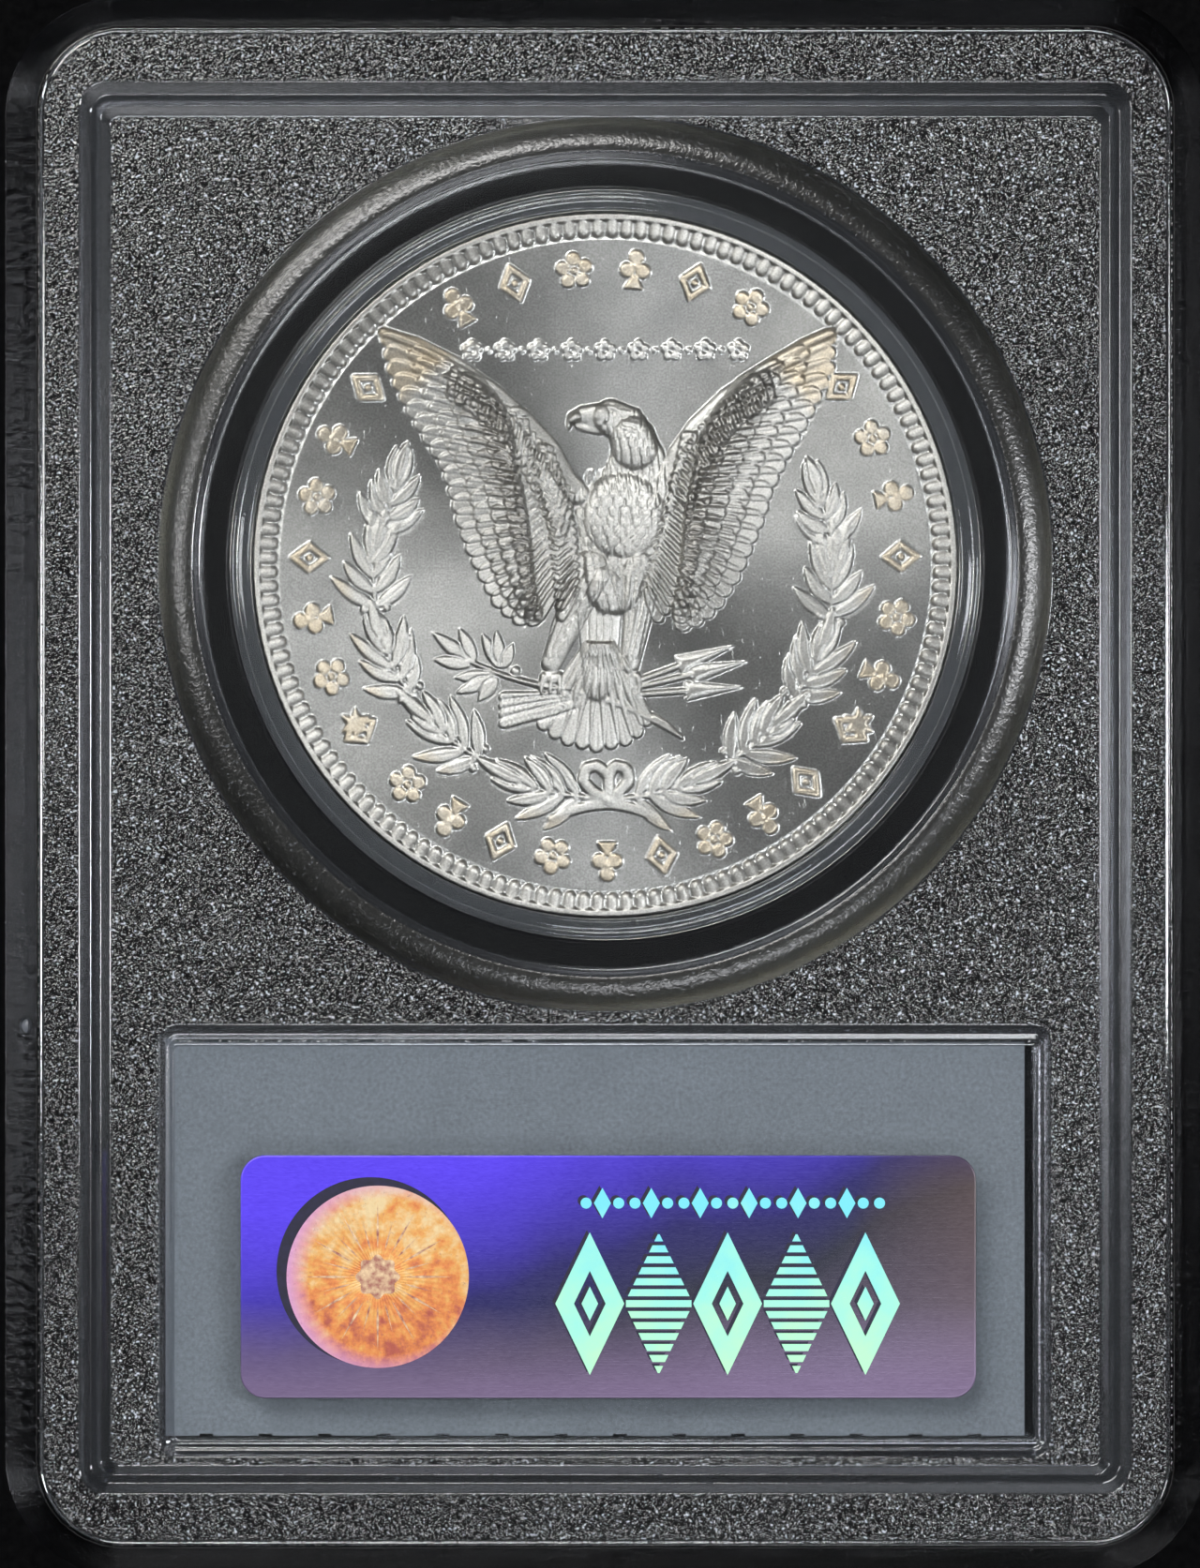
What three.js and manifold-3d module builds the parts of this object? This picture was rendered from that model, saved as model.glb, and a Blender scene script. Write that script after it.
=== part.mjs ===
// A graded coin slab: two clear shells welded round a coin in its retaining ring, with a label card
// in a pocket under the coin and a seal sticker on the back.
//
// Millimetres, +Z up. The slab lies face down: the front shell is below and the back shell above.
// The origin is the centre of the footprint, on the surface that the slab lies on.
// +Y points from the label to the coin.
import * as THREE from 'three';
import { mergeVertices } from 'three/addons/utils/BufferGeometryUtils.js';
import Module from 'manifold-3d';

const wasm = await Module();
wasm.setup();

// ---- driving dimensions ----
const slab = { width: 65, length: 85.7, thickness: 8, corner: 6.5 };
const side = { flat: 2, inset: 1.95 }; // straight band round the seam, then a slope up to each rim
const coin = { radius: 19.05, thickness: 2.5, y: 12 };
const card = { width: 47, height: 21.75, thickness: 0.3 };
const sticker = { width: 39.7, height: 13.1, thickness: 0.1, corner: 1.33, x: 0.17, y: -26.46 };
const clearance = 0.2; // between pieces that are assembled loose
const touching = 0.02; // between faces that rest on each other
const joinDepth = 0.5; // how far one block reaches into another that it is joined to
const cornerSegments = 6;
const roundSegments = 96;

// ---- derived dimensions ----
const seam = slab.thickness / 2; // height of the weld plane
const rim = (slab.thickness - touching) / 2; // from here on, heights are above a shell's seam face
const shelf = rim - 0.55;
const panel = rim - 1.1;
const wall = 1.6;
const panelInside = panel - wall;

const recess = { width: 56.5, length: 75.8, corner: 1.4, slope: 0.5, ledge: 0.65, lowSlope: 0.4 };
const sideWall = 3.6; // from the slab's outline in to the hollow
const cavity = {
  width: slab.width - 2 * sideWall,
  length: slab.length - 2 * sideWall,
  corner: slab.corner - sideWall,
};
const tongue = { outer: 1.6, width: 0.8, height: 0.6 }; // outer: distance in from the slab's outline

const ring = { inner: coin.radius + 0.08, outer: 20.3, height: 2.9, chamfer: 0.2 };
const bezel = { foot: 24.2, crest: 22.5, bore: 21.95, height: rim - 0.2, edge: 0.15, steps: 5 };
const lens = { face: rim - 0.7, inside: ring.height / 2 + 0.15 };
const well = { inner: ring.outer + clearance, outer: 22 };

const label = { y: -24.5, width: 48, height: 23.1, corner: 0.9 }; // the window, at the panel
const windowSlope = 0.3;
const windowFace = panel - 0.5;
const windowInside = windowFace - wall;
const pocket = { width: 48.8, height: 22.6, wall: 0.8 };
const cardTop = windowInside - 0.15;
const cardBed = { top: cardTop - card.thickness - touching, inset: 1.7 };

const perforation = { pitch: 3.2, width: 0.75, depth: 0.12 }; // nicks left along the card's torn edge
const gateMark = { x: -slab.width / 2 + 1.1, y: -12.9, radius: 0.5, height: panel };

// ---- shapes ----
function roundedRectangle(width, length, corner) {
  const x = width / 2 - corner;
  const y = length / 2 - corner;
  const shape = new THREE.Shape();
  shape.absarc(x, y, corner, 0, Math.PI / 2);
  shape.absarc(-x, y, corner, Math.PI / 2, Math.PI);
  shape.absarc(-x, -y, corner, Math.PI, Math.PI * 1.5);
  shape.absarc(x, -y, corner, Math.PI * 1.5, Math.PI * 2);
  return shape;
}

// A block with straight sides from low to high.
function block(width, length, corner, low, high, y = 0) {
  const shape = roundedRectangle(width, length, corner);
  const options = { depth: high - low, bevelEnabled: false, curveSegments: cornerSegments };
  return new THREE.ExtrudeGeometry(shape, options).translate(0, y, low);
}

// A block whose floor, at low, is smaller by inset on every side, and which has its full size from
// low + slope upwards.
function taperedBlock(width, length, corner, low, high, slope, inset, y = 0) {
  const options = {
    depth: high - low - slope,
    bevelThickness: slope,
    bevelSize: inset,
    bevelOffset: -inset,
    bevelSegments: 1,
    curveSegments: cornerSegments,
  };
  const shape = roundedRectangle(width, length, corner);
  return new THREE.ExtrudeGeometry(shape, options).translate(0, y, low + slope);
}

// A profile of [radius, height] points turned round the coin's axis.
function turned(profile, y = coin.y) {
  const points = profile.map(([r, z]) => new THREE.Vector2(r, z));
  return new THREE.LatheGeometry(points, roundSegments).rotateX(Math.PI / 2).translate(0, y, 0);
}

function disc(radius, low, high) {
  return turned([[0, low], [radius, low], [radius, high], [0, high]]);
}

function tube(inner, outer, low, high) {
  return turned([[inner, low], [outer, low], [outer, high], [inner, high], [inner, low]]);
}

// ---- solids ----
function solid(geometry) {
  const bare = geometry.clone();
  bare.deleteAttribute('normal');
  bare.deleteAttribute('uv');
  const merged = mergeVertices(bare, 1e-4);
  return new wasm.Manifold(new wasm.Mesh({
    numProp: 3,
    vertProperties: merged.attributes.position.array,
    triVerts: new Uint32Array(merged.index.array),
  }));
}

function frameOf(outer, inner) {
  return solid(outer).subtract(solid(inner));
}

function geometryOf(manifold) {
  const mesh = manifold.getMesh();
  const geometry = new THREE.BufferGeometry();
  geometry.setAttribute('position', new THREE.BufferAttribute(mesh.vertProperties, 3));
  geometry.setIndex(new THREE.BufferAttribute(mesh.triVerts, 1));
  geometry.computeVertexNormals();
  return geometry;
}

// ---- the shells ----
// Both shells share this moulding. It is drawn with its face up and the seam at height 0.
function shellMoulding() {
  const outside = new THREE.ExtrudeGeometry(
    roundedRectangle(slab.width, slab.length, slab.corner),
    {
      depth: side.flat,
      bevelThickness: rim - side.flat / 2,
      bevelSize: side.inset,
      bevelOffset: -side.inset,
      bevelSegments: 1,
      curveSegments: cornerSegments,
    },
  ).translate(0, 0, -side.flat / 2);
  const belowSeam = block(slab.width + 2, slab.length + 2, slab.corner, -rim - 1, 0);

  const toShelf = taperedBlock(
    recess.width, recess.length, recess.corner, shelf, rim + 1, rim - shelf, recess.slope,
  );
  const panelMargin = 2 * (recess.slope + recess.ledge);
  const toPanel = taperedBlock(
    recess.width - panelMargin, recess.length - panelMargin, recess.corner / 2,
    panel, rim + 1, shelf - panel, recess.lowSlope,
  );
  const hollow = block(cavity.width, cavity.length, cavity.corner, -1, panelInside);

  return solid(outside)
    .subtract(solid(belowSeam))
    .subtract(solid(toShelf))
    .subtract(solid(toPanel))
    .subtract(solid(hollow))
    .add(coinWindow())
    .subtract(solid(disc(bezel.bore, lens.face, rim + 1)))
    .subtract(solid(disc(well.inner, -1, lens.inside)))
    .add(labelPlate())
    .subtract(labelRecess());
}

// The round back of the bezel, from its foot on the panel up to its crest.
function bezelBack() {
  const points = [];
  for (let i = 0; i <= bezel.steps; i++) {
    const angle = (Math.PI / 2) * (i / bezel.steps);
    const radius = bezel.crest + (bezel.foot - bezel.crest) * Math.cos(angle);
    points.push([radius, panel + (bezel.height - panel) * Math.sin(angle)]);
  }
  return points;
}

// The raised bezel and the lens plate over the coin, with the wall of the coin well under them.
function coinWindow() {
  return solid(turned([
    [0, 0],
    [well.outer, 0],
    [well.outer, panelInside + joinDepth],
    [bezel.foot, panel - 0.1],
    ...bezelBack(),
    [bezel.bore + bezel.edge, bezel.height],
    [bezel.bore - 0.05, bezel.height - bezel.edge],
    [0, bezel.height - bezel.edge],
  ]));
}

// The plate that the label shows through, and the walls of the card's pocket under it.
function labelPlate() {
  const width = pocket.width + 2 * pocket.wall;
  const height = pocket.height + 2 * pocket.wall;
  const walls = frameOf(
    block(width, height, 1, 0, panelInside + joinDepth, label.y),
    block(pocket.width, pocket.height, 0.4, -1, panelInside + 1, label.y),
  );
  return walls.add(solid(block(width, height, 1, windowInside, panel, label.y)));
}

function labelRecess() {
  return solid(taperedBlock(
    label.width, label.height, label.corner,
    windowFace, rim + 1, panel - windowFace, windowSlope, label.y,
  ));
}

// A closed band that follows the slab's outline, from outer to outer + width in from it.
function seamBand(outer, width, low, high) {
  const at = (inset, from, to) => block(
    slab.width - 2 * inset, slab.length - 2 * inset, slab.corner - inset, from, to,
  );
  return frameOf(at(outer, low, high), at(outer + width, low - 1, high + 1));
}

function backShell() {
  const weldTongue = seamBand(tongue.outer, tongue.width, -tongue.height, joinDepth);
  const gate = new THREE.CylinderGeometry(gateMark.radius, gateMark.radius, 1.6, 16)
    .rotateZ(Math.PI / 2)
    .translate(gateMark.x, gateMark.y, gateMark.height - 0.3);
  return shellMoulding().add(weldTongue).add(solid(gate));
}

function frontShell() {
  const gap = clearance;
  const groove = seamBand(tongue.outer - gap, tongue.width + 2 * gap, -1, tongue.height + gap);
  const bedWidth = pocket.width - 2 * clearance;
  const bedHeight = pocket.height - 2 * clearance;
  const bed = frameOf(
    block(bedWidth, bedHeight, 0.4, -cardBed.top, windowInside + joinDepth, label.y),
    block(bedWidth - 2 * cardBed.inset, bedHeight - 2 * cardBed.inset, 0.4, -2, panel, label.y),
  );
  return shellMoulding().subtract(groove).add(bed);
}

// ---- what the shells hold ----
function coinBlank() {
  const half = coin.thickness / 2;
  const field = half - 0.25;
  const edge = 0.15;
  return turned([
    [0, -field],
    [coin.radius - 1.4, -field],
    [coin.radius - 0.9, -half],
    [coin.radius - edge, -half],
    [coin.radius, -half + edge],
    [coin.radius, half - edge],
    [coin.radius - edge, half],
    [coin.radius - 0.9, half],
    [coin.radius - 1.4, field],
    [0, field],
  ], 0);
}

function retainingRing() {
  const half = ring.height / 2;
  const { inner, outer, chamfer } = ring;
  return turned([
    [inner, -half + chamfer],
    [inner + chamfer, -half],
    [outer - chamfer, -half],
    [outer, -half + chamfer],
    [outer, half - chamfer],
    [outer - chamfer, half],
    [inner + chamfer, half],
    [inner, half - chamfer],
    [inner, -half + chamfer],
  ], 0);
}

// The card, with the nicks of its torn perforation along its lower edge.
function labelCard() {
  const x = card.width / 2;
  const y = card.height / 2;
  const shape = new THREE.Shape().moveTo(-x, y).lineTo(-x, -y);
  const nicks = Math.floor(card.width / perforation.pitch);
  const first = -((nicks - 1) / 2) * perforation.pitch;
  for (let i = 0; i < nicks; i++) {
    const middle = first + i * perforation.pitch;
    const half = perforation.width / 2;
    shape.lineTo(middle - half, -y);
    shape.lineTo(middle - half, -y + perforation.depth);
    shape.lineTo(middle + half, -y + perforation.depth);
    shape.lineTo(middle + half, -y);
  }
  shape.lineTo(x, -y).lineTo(x, y).closePath();
  return new THREE.ExtrudeGeometry(shape, { depth: card.thickness, bevelEnabled: false });
}

function sealSticker() {
  return block(sticker.width, sticker.height, sticker.corner, 0, sticker.thickness);
}

// ---- assembly ----
const clearPlastic = new THREE.MeshStandardMaterial({
  color: 0x9a9ca0, roughness: 0.15, metalness: 0, transparent: true, opacity: 0.35,
});
const silver = new THREE.MeshStandardMaterial({ color: 0xc9c8c4, roughness: 0.25, metalness: 1 });
const cardStock = new THREE.MeshStandardMaterial({ color: 0x7e868e, roughness: 0.9, metalness: 0 });
const foil = new THREE.MeshStandardMaterial({ color: 0x3b3596, roughness: 0.3, metalness: 0.7 });

function piece(name, geometry, material, [x, y, z] = [0, 0, 0], turn = 0) {
  const mesh = new THREE.Mesh(geometry, material);
  mesh.name = name;
  mesh.position.set(x, y, z);
  mesh.rotation.y = turn;
  return mesh;
}

const group = new THREE.Group();

// The front shell is the same moulding turned over, so its face looks down.
group.add(
  piece('front_shell', geometryOf(frontShell()), clearPlastic, [0, 0, seam - touching / 2], Math.PI),
  piece('back_shell', geometryOf(backShell()), clearPlastic, [0, 0, seam + touching / 2]),
);

// The card lies against the pocket's left wall, so its right edge shows in the window.
const cardX = -(pocket.width - card.width) / 2 + 0.1;
const cardY = label.y + 0.225;
group.add(
  piece('coin_ring', retainingRing(), clearPlastic, [0, coin.y, seam]),
  piece('coin', coinBlank(), silver, [0, coin.y, seam]),
  piece('label_card', labelCard(), cardStock, [cardX, cardY, seam + cardTop - card.thickness]),
  piece('seal_sticker', sealSticker(), foil, [sticker.x, sticker.y, seam + windowFace + 2 * touching]),
);

export default group;
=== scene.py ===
import math

import bmesh
import bpy
import numpy as np
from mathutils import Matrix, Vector
from mathutils.geometry import tessellate_polygon


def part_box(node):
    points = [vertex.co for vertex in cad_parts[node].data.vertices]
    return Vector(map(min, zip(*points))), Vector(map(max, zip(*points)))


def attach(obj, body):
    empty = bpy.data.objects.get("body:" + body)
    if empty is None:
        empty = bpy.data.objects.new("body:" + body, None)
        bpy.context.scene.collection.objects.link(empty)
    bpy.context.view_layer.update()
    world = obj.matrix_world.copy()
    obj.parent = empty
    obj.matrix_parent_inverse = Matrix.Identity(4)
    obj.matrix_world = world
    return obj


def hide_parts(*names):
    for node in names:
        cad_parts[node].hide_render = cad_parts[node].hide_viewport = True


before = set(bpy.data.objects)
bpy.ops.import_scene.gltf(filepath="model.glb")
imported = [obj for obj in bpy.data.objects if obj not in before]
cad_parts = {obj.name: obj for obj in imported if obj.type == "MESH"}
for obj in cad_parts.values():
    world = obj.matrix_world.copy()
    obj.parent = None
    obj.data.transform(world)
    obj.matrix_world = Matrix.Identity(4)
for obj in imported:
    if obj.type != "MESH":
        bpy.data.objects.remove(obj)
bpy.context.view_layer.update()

# Shapes below are drawn in millimetres, and every mesh is made in metres.
MM = 0.001
COIN_Y = 12.0
COIN_R = 19.05
LABEL_Y = -24.5
SEAM = 4.0  # height of the weld line
GAP = 0.01  # half of the weld line's gap


# ------------ mesh helpers
def polar(radius, angle, x=0.0, y=0.0):
    """The point at a radius and an angle from x, y."""
    return x + radius * math.cos(angle), y + radius * math.sin(angle)


def round_loop(radius, steps, x=0.0, y=0.0):
    turn = 2 * math.pi / steps
    return [polar(radius, i * turn, x, y) for i in range(steps)]


def circle(radius, z):
    """A closed loop of points round the coin's axis."""
    return [(x, y, z) for x, y in round_loop(radius, 360, 0.0, COIN_Y)]


def rectangle(half_x, half_y, corner, z, y=0.0):
    """A closed loop of points round a rectangle with round corners."""
    points = []
    steps = 14
    for side_x, side_y, start in ((1, 1, 0), (-1, 1, 90), (-1, -1, 180), (1, -1, 270)):
        for i in range(steps + 1):
            a = math.radians(start + 90 * i / steps)
            px = side_x * (half_x - corner) + corner * math.cos(a)
            py = side_y * (half_y - corner) + corner * math.sin(a)
            points.append((px, py + y, z))
    return points


def add_object(name, data):
    thing = bpy.data.objects.new(name, data)
    bpy.context.scene.collection.objects.link(thing)
    return thing


class Skin:
    """Collects loops and the faces between them, in millimetres, and becomes one closed mesh."""

    def __init__(self):
        self.points = []
        self.faces = []
        self.looks = []
        self.smooth = []

    def loop(self, ring):
        start = len(self.points)
        self.points += ring
        return list(range(start, start + len(ring)))

    def face(self, corners, look, smooth):
        self.faces.append(tuple(corners))
        self.looks.append(look)
        self.smooth.append(smooth)

    def band(self, a, b, look=0, smooth=True):
        for i in range(len(a)):
            j = (i + 1) % len(a)
            self.face((a[i], a[j], b[j], b[i]), look, smooth)

    def loft(self, rings, looks, smooth=True):
        """Joins each ring of points to the next. Returns the first and the last loop."""
        loops = [self.loop(ring) for ring in rings]
        for i in range(len(loops) - 1):
            look = looks[i] if isinstance(looks, (list, tuple)) else looks
            self.band(loops[i], loops[i + 1], look, smooth)
        return loops[0], loops[-1]

    def fill(self, outer, holes=(), look=0):
        """A flat face inside outer, with holes."""
        loops = [outer, *holes]
        corners = [[Vector(self.points[i]) for i in one] for one in loops]
        ids = [i for one in loops for i in one]
        for triangle in tessellate_polygon(corners):
            self.face([ids[k] for k in triangle], look, False)

    def capped(self, rings, look=0, smooth=False):
        """A loft that is closed at both ends."""
        bottom, top = self.loft(rings, look, smooth)
        self.fill(bottom, look=look)
        self.fill(top, look=look)

    def build(self, name, materials, turn_over=False):
        flip = -1 if turn_over else 1
        points = [(flip * x * MM, y * MM, (SEAM + flip * z) * MM) for x, y, z in self.points]
        mesh = bpy.data.meshes.new(name)
        mesh.from_pydata(points, [], self.faces)
        mesh.polygons.foreach_set("material_index", self.looks)
        mesh.polygons.foreach_set("use_smooth", self.smooth)
        for material in materials:
            mesh.materials.append(material)
        work = bmesh.new()
        work.from_mesh(mesh)
        bmesh.ops.remove_doubles(work, verts=work.verts, dist=1e-7)
        bmesh.ops.recalc_face_normals(work, faces=work.faces)
        work.to_mesh(mesh)
        work.free()
        mesh.update()
        return add_object(name, mesh)


# ------------ node helpers
class Nodes:
    """A short way to write a material's nodes."""

    def __init__(self, name):
        self.material = bpy.data.materials.new(name)
        self.material.use_nodes = True
        self.tree = self.material.node_tree
        self.tree.nodes.clear()
        self.output = self.tree.nodes.new("ShaderNodeOutputMaterial")

    def put(self, target, value):
        """Links target to a socket, or sets it to a plain value."""
        if isinstance(value, bpy.types.NodeSocket):
            self.tree.links.new(value, target)
        else:
            target.default_value = value

    def add(self, kind, **inputs):
        node = self.tree.nodes.new("ShaderNode" + kind)
        for key, value in inputs.items():
            self.put(node.inputs[key.replace("_", " ")], value)
        return node

    def math(self, operation, a, b=0.0, c=0.0):
        node = self.add("Math")
        node.operation = operation
        for target, value in zip(node.inputs, (a, b, c)):
            self.put(target, value)
        return node.outputs[0]

    def times(self, a, b):
        return self.math("MULTIPLY", a, b)

    def linear(self, value, slope, offset):
        return self.math("MULTIPLY_ADD", value, slope, offset)

    def remap(self, value, low, high):
        """0 at low and before it, 1 at high and past it, and even between them."""
        return self.add("MapRange", Value=value, From_Min=low, From_Max=high).outputs[0]

    def ramp(self, value, stops):
        node = self.add("ValToRGB", Fac=value)
        elements = node.color_ramp.elements
        while len(elements) < len(stops):
            elements.new(0.5)
        for element, (place, colour) in zip(elements, stops):
            element.position = place
            element.color = (*colour, 1.0)
        return node.outputs[0]

    def mix(self, factor, a, b, blend="MIX"):
        """A mix of two colours."""
        node = self.add("Mix")
        node.data_type = "RGBA"
        node.blend_type = blend
        self.put(node.inputs[0], factor)
        for i, value in ((6, a), (7, b)):
            is_socket = isinstance(value, bpy.types.NodeSocket)
            self.put(node.inputs[i], value if is_socket else (*value, 1.0))
        return node.outputs[2]

    def blend(self, factor, a, b):
        """A mix of two shaders."""
        node = self.add("MixShader")
        for target, value in zip(node.inputs, (factor, a, b)):
            self.put(target, value)
        return node.outputs[0]

    def position(self, scale=(1, 1, 1), offset=(0, 0, 0)):
        """Object coordinates in millimetres, stretched by scale."""
        source = self.add("TexCoord").outputs["Object"]
        scale = [s / MM for s in scale]
        return self.add("Mapping", Vector=source, Location=offset, Scale=scale).outputs[0]

    def split(self, where):
        parts = self.add("SeparateXYZ", Vector=where)
        return [parts.outputs[axis] for axis in "XYZ"]

    def polar(self, x, y):
        """The angle and the radius of x, y."""
        squares = self.math("ADD", self.times(x, x), self.times(y, y))
        return self.math("ARCTAN2", y, x), self.math("SQRT", squares)

    def noise(self, where, scale, detail, **more):
        return self.add("TexNoise", Vector=where, Scale=scale, Detail=detail, **more).outputs["Fac"]

    def bump(self, height, strength, depth):
        """A normal. depth is in millimetres."""
        return self.add("Bump", Strength=strength, Distance=depth * MM, Height=height).outputs[0]

    def surface(self, **inputs):
        return self.finish(self.add("BsdfPrincipled", **inputs).outputs[0])

    def finish(self, shader):
        self.tree.links.new(shader, self.output.inputs["Surface"])
        return self.material


# ------------ clear plastic
def let_lamps_through(n, shader):
    """Shadow rays pass through clear plastic, so what is under it is lit."""
    path = n.add("LightPath")
    clear = n.add("BsdfTransparent", Color=(0.93, 0.94, 0.95, 1))
    return n.blend(path.outputs["Is Shadow Ray"], shader, clear.outputs[0])


def clear_plastic(name, grain, roughness, tint_and_shade=(0.93, 0.945, 0.955), shine=0.5, haze_and_glints=0.0):
    """Clear polystyrene. grain is None or a function that returns a normal.

    The last argument is the share of pale diffuse scatter, a number or a function that returns a socket: a
    number gives the plastic a real cloudiness, and a function paints highlights as pale points.
    """
    n = Nodes(name)
    normal = {"Normal": grain(n)} if grain else {}
    plastic = n.add(
        "BsdfPrincipled", Base_Color=(*tint_and_shade, 1), Roughness=roughness, IOR=1.59,
        Transmission_Weight=1.0, Specular_IOR_Level=shine, **normal,
    )
    shader = plastic.outputs[0]
    if haze_and_glints:
        milky_and_glints = n.add("BsdfDiffuse", Color=(0.72, 0.78, 0.88, 1))
        shader = n.blend(haze_and_glints(n) if callable(haze_and_glints) else haze_and_glints, shader, milky_and_glints.outputs[0])
    return n.finish(let_lamps_through(n, shader))


def stipple(n):
    """The spark-eroded grain of the moulded faces: short rounded grains about 0.2 mm apart."""
    return n.bump(n.noise(n.position(), 6.2, 0.6, Roughness=0.5, Distortion=0.15), 1.0, 0.08)


def painted_glints(n, strength=0.5):
    """Painted highlights: small pale points on the crests of the grain, put where the lamps would glint."""
    grain = n.noise(n.position(), 5.6, 1.0, Roughness=0.5, Distortion=0.1)
    patch = n.noise(n.position(), 0.09, 2.0)
    glint_mask = n.remap(grain, 0.66, 0.71)
    return n.times(glint_mask, n.linear(patch, 1.6 * strength, -0.1 * strength))


# Fainter painted highlights, for the bezel.
def faint_painted_glints(n):
    return painted_glints(n, 0.12)


def bezel_grain(n):
    """A coarser and shallower grain, on the round back of the bezel and on the gate mark."""
    return n.bump(n.noise(n.position(), 4.2, 1.0, Roughness=0.6, Distortion=0.4), 1.0, 0.03)


def hairlines(n, strength=0.06):
    """Fine handling scratches on a polished face."""
    long_way = n.noise(n.position((0.35, 9.0, 1.0)), 1.0, 2.0)
    slanted = n.noise(n.position((7.0, 0.5, 1.0), (3.0, 1.0, 0.0)), 1.0, 2.0)
    return n.bump(n.math("ADD", long_way, slanted), strength, 0.02)


def faint_hairlines(n):
    return hairlines(n, 0.02)


def streaks(n):
    """The faint ripple of the side walls, running from face to face."""
    return n.bump(n.noise(n.position((2.2, 2.2, 0.12)), 1.0, 3.0), 0.5, 0.12)


polished = clear_plastic("plastic_polished", hairlines, 0.04)
# Near-black tint: painted shade on the stippled faces.
stippled = clear_plastic("plastic_stippled", stipple, 0.1, (0.05, 0.05, 0.052), 0.75, painted_glints)
inner_clear = clear_plastic("plastic_inner", None, 0.02)
# Dark grey-blue tint: painted shade on the step.
step_clear = clear_plastic("plastic_step", faint_hairlines, 0.1, (0.26, 0.27, 0.3), 0.5, 0.012)
# Dark olive tint: painted shade on the bezel.
bezel_clear = clear_plastic("plastic_bezel", bezel_grain, 0.25, (0.12, 0.115, 0.09), 0.8, faint_painted_glints)
# Near-black tint: painted shade on the side walls.
rippled = clear_plastic("plastic_side", streaks, 0.05, (0.012, 0.012, 0.013), 0.15)
cavity_clear = clear_plastic("plastic_cavity", None, 0.1, (0.45, 0.46, 0.47))
gate_white = clear_plastic("plastic_gate", bezel_grain, 0.3, (0.4, 0.42, 0.46), 0.5, 0.1)
# Olive tint: a painted brownish reflection on the ring.
ring_clear = clear_plastic("plastic_ring", faint_hairlines, 0.05, (0.7, 0.68, 0.6), 0.5, 0.02)

# Heights above the weld line
TOP = 4.0 - GAP
PANEL = TOP - 1.1
CEILING = PANEL - 1.6
LENS_UNDER = 1.6
WINDOW = PANEL - 0.5
WINDOW_UNDER = WINDOW - 1.6
BED_TOP = -0.33  # the front shell's bed reaches past the weld line, as far as the card

# Half widths and half lengths
OUTLINE = (32.5, 42.85)
STEP_EDGE = (28.25, 37.95)
WINDOW_EDGE = (24.0, 11.65)
POCKET = (25.2, 12.1)
POCKET_ROOF = (24.4, 11.3)
BED = (24.2, 11.1)
BED_RECESS = (22.5, 9.4)

WALL = 3.6
WELL_R = 22.0
LENS_R = 20.5
GATE_PLACE = (-31.05, -12.9)

# The shells' looks, in the order of their material slots
POLISHED, STIPPLED, RIPPLED, INNER, STEP, BEZEL, CAVITY, GATE = range(8)
SHELL_LOOKS = [polished, stippled, rippled, inner_clear, step_clear, bezel_clear, cavity_clear, gate_white]


def inset_rectangle(half, inset, corner, height, y=0.0):
    return rectangle(half[0] - inset, half[1] - inset, corner, height + GAP, y)


def outline(inset, height):
    return inset_rectangle(OUTLINE, inset, 6.5 - inset, height)


def step(inset, height):
    """The step is uneven: each loop further in also lies a little nearer to the label."""
    return inset_rectangle(STEP_EDGE, inset, max(0.45, 1.4 - 0.55 * inset), height, -0.05 - 0.12 * inset)


def window(inset, height):
    half_x, half_y = WINDOW_EDGE
    corner = max(0.3, 0.9 - inset)
    return rectangle(half_x - inset, half_y - 1.3 * inset, corner, height + GAP, LABEL_Y - 0.27 * inset)


def pocket_loop(half, corner, height):
    return inset_rectangle(half, 0.0, corner, height, LABEL_Y)


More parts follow.
